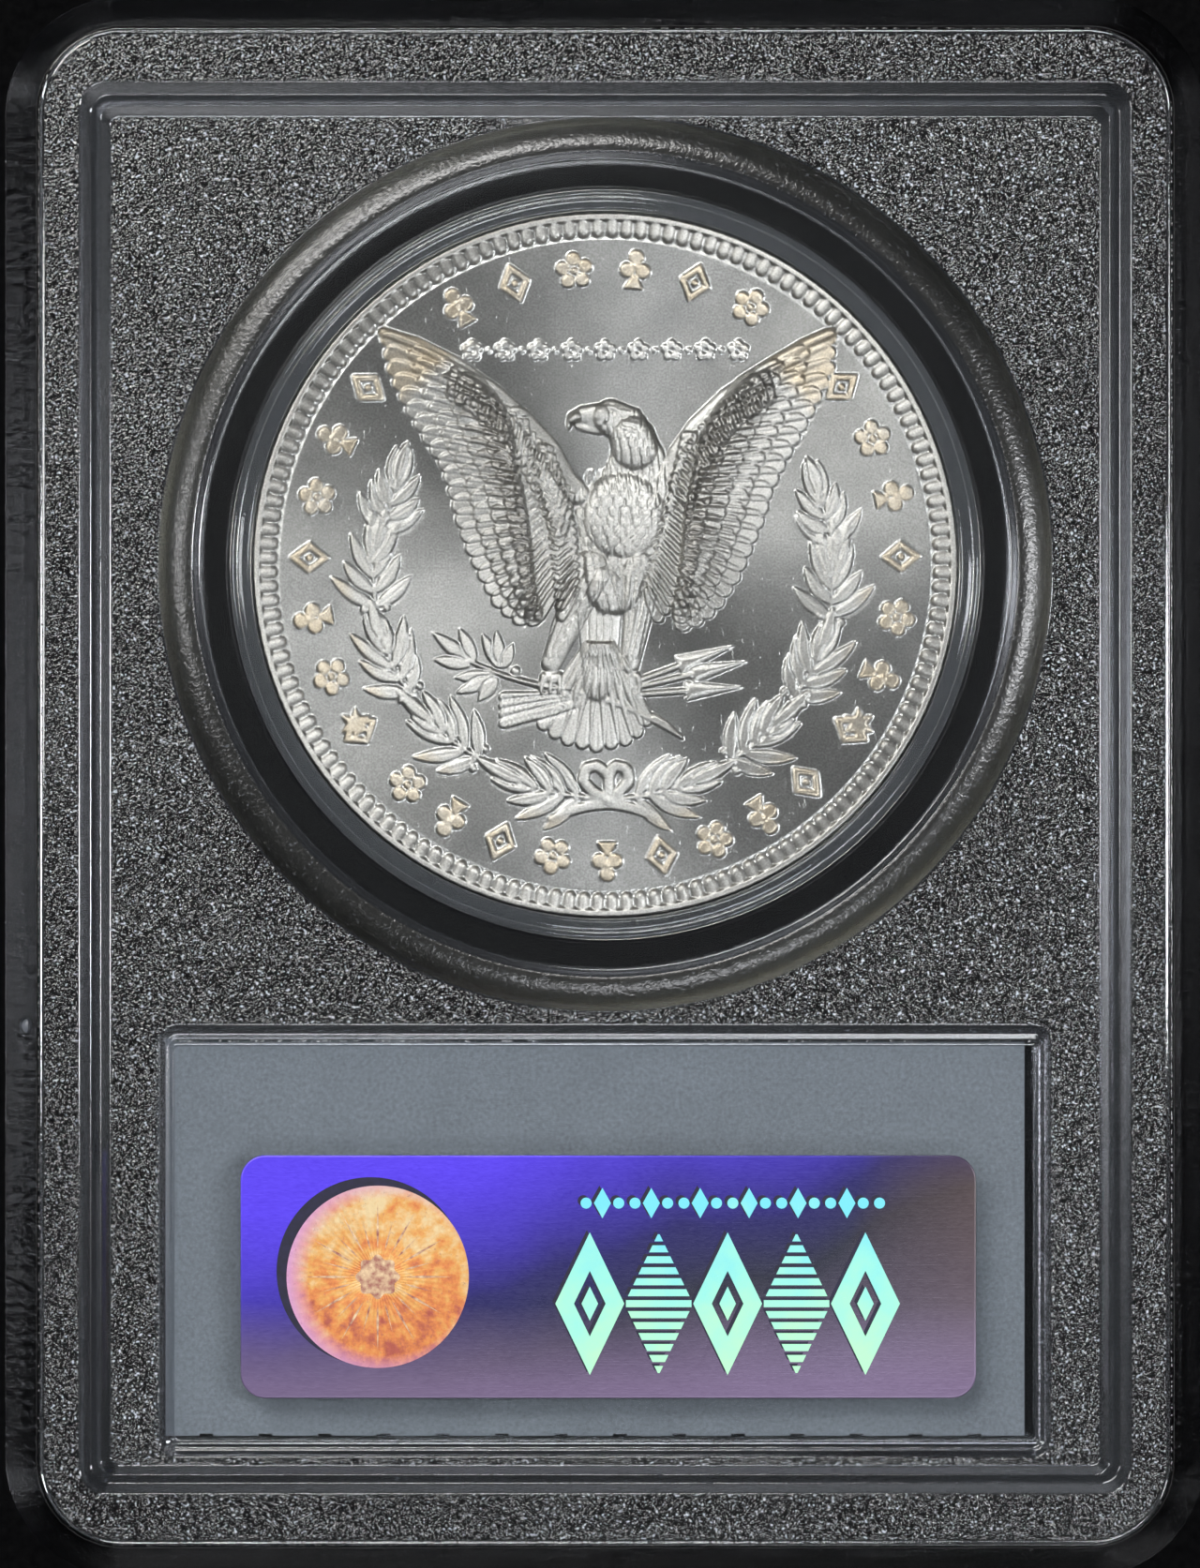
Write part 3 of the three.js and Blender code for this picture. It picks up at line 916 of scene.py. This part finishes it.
            root, tip = (-0.3 + i * 0.36, y + 0.35), (-0.3 + i * 0.4, y - 0.4)
            blade(root, tip, 0.2, 0.02, rib=0.3)

    # eye, brow and nostril
    stroke([(-0.75, 8.5), (-0.3, 8.62), (0.2, 8.5)], 0.09, 0.07, 0.035)
    relief.dome(-0.32, 8.3, 0.15, 0.13, 0.035)
    stroke([(-0.35, 7.72), (-0.9, 7.7), (-1.45, 7.72)], 0.05, 0.03, 0.02)


def holdings(relief):
    """The branch and the arrows in the claws."""
    blade, stroke = relief.blade, relief.stroke
    stem = bezier((4.1, -9.3), (1.5, -7.6), (-1.2, -6.95))
    stroke(stem, 0.12, 0.27, 0.2)
    stroke([(2.6, -8.3), (3.3, -8.6), (4.15, -9.4)], 0.3, 0.05, 0.18)
    stroke(bezier((-1.2, -6.95), (-4.6, -6.4), (-6.2, -5.7)), 0.17, 0.12, 0.18)
    stroke(bezier((-6.2, -5.7), (-7.2, -5.3), (-7.8, -4.9)), 0.12, 0.08, 0.15)
    relief.dome(-4.85, -5.75, 0.27, 0.27, 0.16)
    leaves = [
        ((-7.2, -5.3), (-9.35, -3.65), 0.4), ((-7.0, -5.2), (-7.9, -3.4), 0.36),
        ((-7.3, -5.45), (-9.3, -5.1), 0.36), ((-5.7, -5.6), (-6.65, -3.7), 0.36),
        ((-5.6, -5.6), (-5.9, -3.5), 0.34), ((-5.5, -5.6), (-5.0, -4.25), 0.3),
        ((-5.9, -6.0), (-8.15, -6.1), 0.38), ((-5.9, -6.1), (-8.1, -6.95), 0.36),
        ((-5.8, -6.1), (-6.9, -7.4), 0.36),
    ]
    for root, tip, wide in leaves:
        blade(root, tip, wide, 0.15, leaf=True, rib=0.3)
    for dy, tip in ((0.75, (7.0, -4.35)), (0.0, (7.75, -5.2)), (-0.75, (7.55, -6.6))):
        root = np.array((0.6, -6.9 + dy * 0.25))
        tip = np.array(tip)
        way = (tip - root) / math.hypot(*(tip - root))
        side = np.array((-way[1], way[0]))
        neck = tip - way * 2.9
        stroke([root, neck], 0.16, 0.16, 0.15)
        relief.polygon([tip, neck + side * 0.55 - way * 0.35, neck - side * 0.55 - way * 0.35], 0.15, 0.3)
    for i in range(4):
        root = (-1.1, -7.1 - 0.1 * i)
        tip = (-5.75, -7.15 - 0.5 * i)
        blade(root, tip, 0.3, 0.14, barbs=0.2, rib=0.25)
    for x, y, lean in ((-2.9, -6.1, -0.4), (1.3, -6.1, 0.3)):
        relief.dome(x, y, 0.6, 0.42, 0.2)
        for i in (-1, 0, 1):
            knee = (x + i * 0.52 + lean * 0.2, y - 0.55)
            claw = (x + i * 0.45 + lean * 0.2, y - 0.85)
            stroke([(x + i * 0.42, y + 0.1), knee, claw], 0.2, 0.08, 0.22)


def wreath(relief):
    blade, stroke = relief.blade, relief.stroke
    left = [
        (-0.2, -12.7), (-3.1, -12.3), (-6.0, -11.0), (-8.2, -9.6), (-9.8, -7.9), (-11.4, -5.8),
        (-12.4, -2.9), (-12.6, 0.2), (-11.9, 2.1), (-11.3, 4.4),
    ]
    right = [
        (0.5, -12.7), (3.0, -12.4), (5.9, -11.2), (8.0, -9.8), (9.7, -7.9), (11.2, -5.8),
        (12.2, -2.9), (12.3, 0.2), (12.1, 1.9), (11.6, 3.6),
    ]
    last = 159  # index of a branch's last point
    nodes = (0.055, 0.3, 0.51, 0.72, 0.89)
    for flip, branch in ((1, left), (-1, right)):
        line = along(branch, last + 1)
        stroke(line[::4], 0.16, 0.1, 0.12)
        for k, node in enumerate(nodes):
            start = int(node * last)
            for j, spread in enumerate((50, -48, 38, -40, 27, -27, 13, -11, 1)):
                place = start + 5 * (j // 2)
                base = line[min(last, place)]
                ahead = base + (line[last] - line[150]) if place + 6 > last else line[place + 6]
                sway = spread + 5 * math.sin(3 * k + 2.1 * j)
                way = math.atan2(*(ahead - base)[::-1]) + math.radians(sway) * flip
                long = (2.75 + 0.35 * math.sin(5 * k + j)) * (0.85 if k == 4 else 1.0)
                tip = base + long * np.array((math.cos(way), math.sin(way)))
                bend = 0.12 * (-1) ** j * flip
                blade(base, tip, 0.4 - 0.02 * (j > 3), 0.12 + 0.011 * j, leaf=True, bend=bend, rib=0.35)
            if k:
                base, behind = line[start], line[start - 5]
                way = (base - behind) / math.hypot(*(base - behind))
                side = np.array((-way[1], way[0]))
                for turn in (-1, 1):
                    berry = base + side * 0.62 * turn - way * 0.1
                    stroke([base - way * 0.3, berry], 0.06, 0.06, 0.08)
                    relief.dot(berry, 0.22, 0.14)

    # bow
    half_bow = [(0.7, -12.3), (1.25, -11.7), (1.1, -11.0), (0.45, -10.85)]
    for side in (-1, 1):
        loop = [(0.15, -12.7), *((side * x, y) for x, y in half_bow), (0.15, -11.4), (0.15, -12.3)]
        stroke([(x + 0.05, y) for x, y in along(loop, 20)], 0.34, 0.3, 0.16, 0.4)
        tail = bezier((0.2, -12.9), (side * 1.4, -13.0), (side * 2.9, -13.75))
        stroke(tail, 0.36, 0.24, 0.13, 0.5)
    relief.dome(0.2, -12.75, 0.42, 0.4, 0.2)


def ornament(relief, kind, radius, angle, size):
    """One mark of the border: a hollow lozenge, a five-petalled flower, or a trefoil on a foot."""
    x, y = radius * math.cos(angle), radius * math.sin(angle)
    out = np.array((math.cos(angle), math.sin(angle)))
    side = np.array((-out[1], out[0]))
    rise = 0.13

    def at(u, v):
        return (x + side[0] * u * size + out[0] * v * size, y + side[1] * u * size + out[1] * v * size)

    if kind == 0:
        ring = [(0.78, 0.0), (0.0, 1.0), (-0.78, 0.0), (0.0, -1.0)]
        for k in range(4):
            (u0, v0), (u1, v1) = ring[k], ring[(k + 1) % 4]
            relief.polygon([at(u0, v0), at(u1, v1), at(u1 * 0.5, v1 * 0.5), at(u0 * 0.5, v0 * 0.5)], rise)
        relief.dot((x, y), 0.17 * size, rise, 0.2)
        return
    lobes, reach, lobe, middle = (5, 0.56, 0.33, 0.0) if kind == 1 else (3, 0.42, 0.36, 0.22)
    for k in range(lobes):
        a = math.pi / 2 + 2 * math.pi * k / lobes
        relief.dot(at(*polar(reach, a, 0.0, middle)), lobe * size, rise, 0.15)
    relief.dot(at(0, middle), 0.2 * size, rise * 1.25, 0.3)
    if kind == 2:
        relief.polygon([at(-0.5, -0.9), at(0.5, -0.9), at(0.12, -0.2), at(-0.12, -0.2)], rise)


def reverse_face():
    relief = Relief()
    eagle(relief)
    relief.base = np.zeros_like(relief.height)
    holdings(relief)
    wreath(relief)
    border_r, mark = 16.0, 1.14
    for i in range(22):
        if i in (7, 14):  # the wing tips reach into the border here
            continue
        ornament(relief, i % 3, border_r, math.radians(214 - i * 11.8), mark)
    for i in range(9):
        ornament(relief, (i + 1) % 3, border_r, math.radians(228 + i * 10.6), mark)
    for x in (-13.5, 13.7):
        relief.polygon(star(x, -8.6, 0.95), 0.14, 0.16)
    row_y = 11.6
    for i in range(9):
        x = -7.2 + i * 1.8
        for k in range(5):
            relief.dot(polar(0.36, math.pi / 2 + 2 * math.pi * k / 5, x, row_y), 0.24, 0.1, 0.2)
        if i < 8:
            relief.dot((x + 0.9, row_y), 0.17, 0.08, 0.3)
    relief.height = soften(relief.height)
    return relief


def obverse_face():
    """The hidden side: a ring of stars round a sunburst."""
    relief = Relief(0.08)
    for i in range(16):
        a = 2 * math.pi * i / 16
        way = np.array((math.sin(a), math.cos(a)))
        relief.blade(2.0 * way, 9.5 * way, 1.3, 0.16, leaf=True, rib=0.25)
    relief.dot((0, 0), 3.2, 0.22)
    for i in range(13):
        a = 2 * math.pi * i / 13
        relief.polygon(star(15.4 * math.sin(a), 15.4 * math.cos(a), 1.0, -a), 0.14, 0.2)
    relief.height = soften(relief.height)
    return relief


BEADS = 148
TURNS = BEADS * 8  # points in each of the coin's loops
FIELD = 1.0  # height of the coin's field above its middle


def border(radius, angle):
    """The dished field's edge, the ring of beads and the rim, as height above the field."""
    rise = 0.035 * np.clip((radius - 11.0) / 6.6, 0, 1) ** 2
    aside = np.abs(((angle * BEADS / (2 * np.pi)) % 1.0) - 0.5) / 0.41
    inward = np.clip((18.1 - radius) / 0.4, 0, 1)
    bead = np.sqrt(np.clip(1 - aside ** 2 - inward ** 2, 0, 1))
    rise = np.maximum(rise - 0.07 * np.clip((radius - 17.6) / 0.35, 0, 1), bead * 0.22)
    wall = np.clip((radius - 18.56) / 0.14, 0, 1)
    return np.maximum(rise, 0.25 * wall)


def coin_rings(step_in, step_out):
    return np.concatenate([np.arange(step_in, 17.6, step_in), np.arange(17.62, 18.98, step_out)])


def build_coin(material):
    angles = np.arange(TURNS) * 2 * np.pi / TURNS
    rings = []

    def add_ring(radius, height):
        height = np.broadcast_to(height, TURNS)
        rings.append(np.stack([radius * np.cos(angles), radius * np.sin(angles), height], 1))

    def add_face(relief, radii, sign):
        for radius in radii:
            x, y = radius * np.cos(angles), radius * np.sin(angles)
            add_ring(radius, sign * (FIELD + relief.sample(x, y) + border(radius, angles)))

    reverse, obverse = reverse_face(), obverse_face()
    add_face(reverse, coin_rings(0.085, 0.065), 1)
    reeded = COIN_R - 0.03 * np.abs(np.sin(angles * BEADS / 2))
    for radius, height in ((19.0, 1.235), (reeded, 1.17), (reeded, -1.17), (19.0, -1.235)):
        add_ring(radius, height)
    add_face(obverse, coin_rings(0.3, 0.12)[::-1], -1)

    middle = FIELD + float(reverse.sample(np.zeros(1), np.zeros(1))[0])
    points = np.concatenate([[(0.0, 0.0, middle)], *rings, [(0.0, 0.0, -1.2)]])
    starts = 1 + TURNS * np.arange(len(rings))
    here = np.arange(TURNS)
    after = (here + 1) % TURNS
    quads = [np.stack([a + here, b + here, b + after, a + after], 1) for a, b in zip(starts, starts[1:])]
    first = np.stack([0 * here, starts[0] + here, starts[0] + after], 1)
    last = np.stack([0 * here + len(points) - 1, starts[-1] + after, starts[-1] + here], 1)
    faces = np.concatenate(quads).tolist() + first.tolist() + last.tolist()

    points = points * MM + np.array((0.0, COIN_Y * MM, SEAM * MM))
    mesh = bpy.data.meshes.new("coin_struck")
    mesh.from_pydata(points.tolist(), [], faces)
    mesh.polygons.foreach_set("use_smooth", [True] * len(mesh.polygons))
    mesh.materials.append(material)
    mesh.update()
    return add_object("coin_struck", mesh)


def silver():
    """Struck silver: radial flow lines give it a turning lustre, with warm tone on the high flats."""
    n = Nodes("silver_struck")
    where = n.position(offset=(0.0, -COIN_Y, 0.0))
    x, y, z = n.split(where)
    angle, radius = n.polar(x, y)
    raised = n.remap(n.math("ABSOLUTE", n.math("SUBTRACT", z, SEAM)), 1.045, 1.11)
    outer = n.remap(radius, 13.6, 14.4)
    within_rim = n.remap(radius, 17.9, 17.5)
    rim_zone = n.times(outer, n.math("SUBTRACT", 1.0, within_rim))
    cloud = n.noise(where, 0.22, 4.0, Roughness=0.6)
    patch = n.noise(where, 0.75, 3.0)
    tone = n.times(raised, n.linear(n.times(outer, within_rim), 0.8, 0.1))
    tone = n.times(tone, n.linear(patch, 1.4, 0.2))
    colour = n.ramp(cloud, [(0.25, (0.235, 0.232, 0.223)), (0.7, (0.325, 0.318, 0.303))])
    colour = n.mix(raised, colour, (0.29, 0.285, 0.271))
    colour = n.mix(rim_zone, colour, (0.27, 0.264, 0.25))
    colour = n.mix(tone, colour, (0.3, 0.255, 0.19))
    fine = n.noise(where, 9.0, 3.0)
    grain = n.ramp(fine, [(0.38, (0.8, 0.8, 0.79)), (0.62, (1.1, 1.1, 1.1))])
    colour = n.mix(1.0, colour, grain, "MULTIPLY")
    flow = n.add("CombineXYZ", X=n.times(angle, 90.0), Y=n.times(radius, 0.5))
    lines = n.noise(flow.outputs[0], 1.0, 3.0)
    nicks = n.noise(n.position((9.0, 1.6, 1.0), (2.0, 5.0, 0.0)), 1.0, 2.0, Distortion=0.6)
    height = n.linear(lines, 0.35, n.times(fine, 0.35))
    height = n.linear(n.remap(nicks, 0.68, 0.76), 0.4, height)
    tangent = n.add("Tangent")
    tangent.direction_type = "RADIAL"
    tangent.axis = "Z"
    return n.surface(
        Base_Color=colour, Metallic=1.0, Roughness=n.linear(raised, 0.17, n.linear(cloud, 0.04, 0.265)),
        Normal=n.bump(height, 0.5, 0.03), Tangent=tangent.outputs[0], Anisotropic=0.75,
    )


coin = build_coin(silver())
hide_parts("coin")
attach(coin, "coin")


# ------------ stage
def matt(name, low, high, scale, roughness=0.8, shine=0.2):
    n = Nodes(name)
    noise = n.noise(n.position(), scale, 4.0)
    colour = n.ramp(noise, [(0.3, low), (0.7, high)])
    normal = n.bump(noise, 0.1, 0.05)
    return n.surface(Base_Color=colour, Roughness=roughness, Normal=normal, Specular_IOR_Level=shine)


def slab_of(name, half_x, half_y, corner, low, high, material):
    skin = Skin()
    skin.capped([rectangle(half_x, half_y, corner, z - SEAM) for z in (low, high)])
    return skin.build(name, [material])


black = matt("backing_black", (0.0022, 0.0022, 0.0024), (0.004, 0.004, 0.0042), 2.0, 0.95, 0.0)
pale = matt("floor_pale", (0.46, 0.46, 0.455), (0.49, 0.49, 0.485), 0.1)
backing = slab_of("backing_card", 66.0, 76.0, 3.0, -0.62, -0.02, black)
floor = slab_of("floor", 900.0, 900.0, 5.0, -5.0, -0.64, pale)


# ------------ light and camera
def area_light(name, place, size_x, size_y, radiance, colour):
    """A soft box with the given radiance, aimed at the slab."""
    data = bpy.data.lights.new(name, "AREA")
    data.shape = "RECTANGLE"
    data.size = size_x
    data.size_y = size_y
    data.energy = radiance * math.pi * size_x * size_y
    data.color = colour
    lamp = add_object(name, data)
    lamp.location = place
    aim = Vector((0, 0, SEAM * MM)) - Vector(place)
    lamp.rotation_euler = aim.to_track_quat("-Z", "Y").to_euler()


area_light("key", (-0.1, 0.25, 0.52), 0.26, 0.09, 21.0, (1.0, 0.99, 0.97))
area_light("fill_low", (0.06, -0.25, 0.52), 0.22, 0.07, 14.0, (0.95, 0.97, 1.0))
area_light("side_left", (-0.3, 0.03, 0.46), 0.07, 0.2, 12.0, (1.0, 1.0, 1.0))
area_light("side_right", (0.3, 0.0, 0.46), 0.06, 0.2, 32.0, (0.97, 0.98, 1.0))
area_light("rim_high", (-0.3, 0.34, 0.42), 0.24, 0.09, 15.0, (1.0, 0.98, 0.94))

world = bpy.data.worlds.new("studio")
world.use_nodes = True
background = world.node_tree.nodes["Background"]
background.inputs["Color"].default_value = (0.9, 0.93, 1.0, 1)
background.inputs["Strength"].default_value = 0.04
bpy.context.scene.world = world

DISTANCE = 0.45
VIEW_HEIGHT = 0.08492
SENSOR = 36.0
camera_data = bpy.data.cameras.new("camera")
camera_data.sensor_fit = "VERTICAL"
camera_data.sensor_height = SENSOR
camera_data.lens = SENSOR * DISTANCE / VIEW_HEIGHT
camera = add_object("camera", camera_data)
camera.location = (-0.00028, 0.00015, 0.0052 + DISTANCE)
bpy.context.scene.camera = camera

bpy.context.scene.view_settings.view_transform = "Standard"
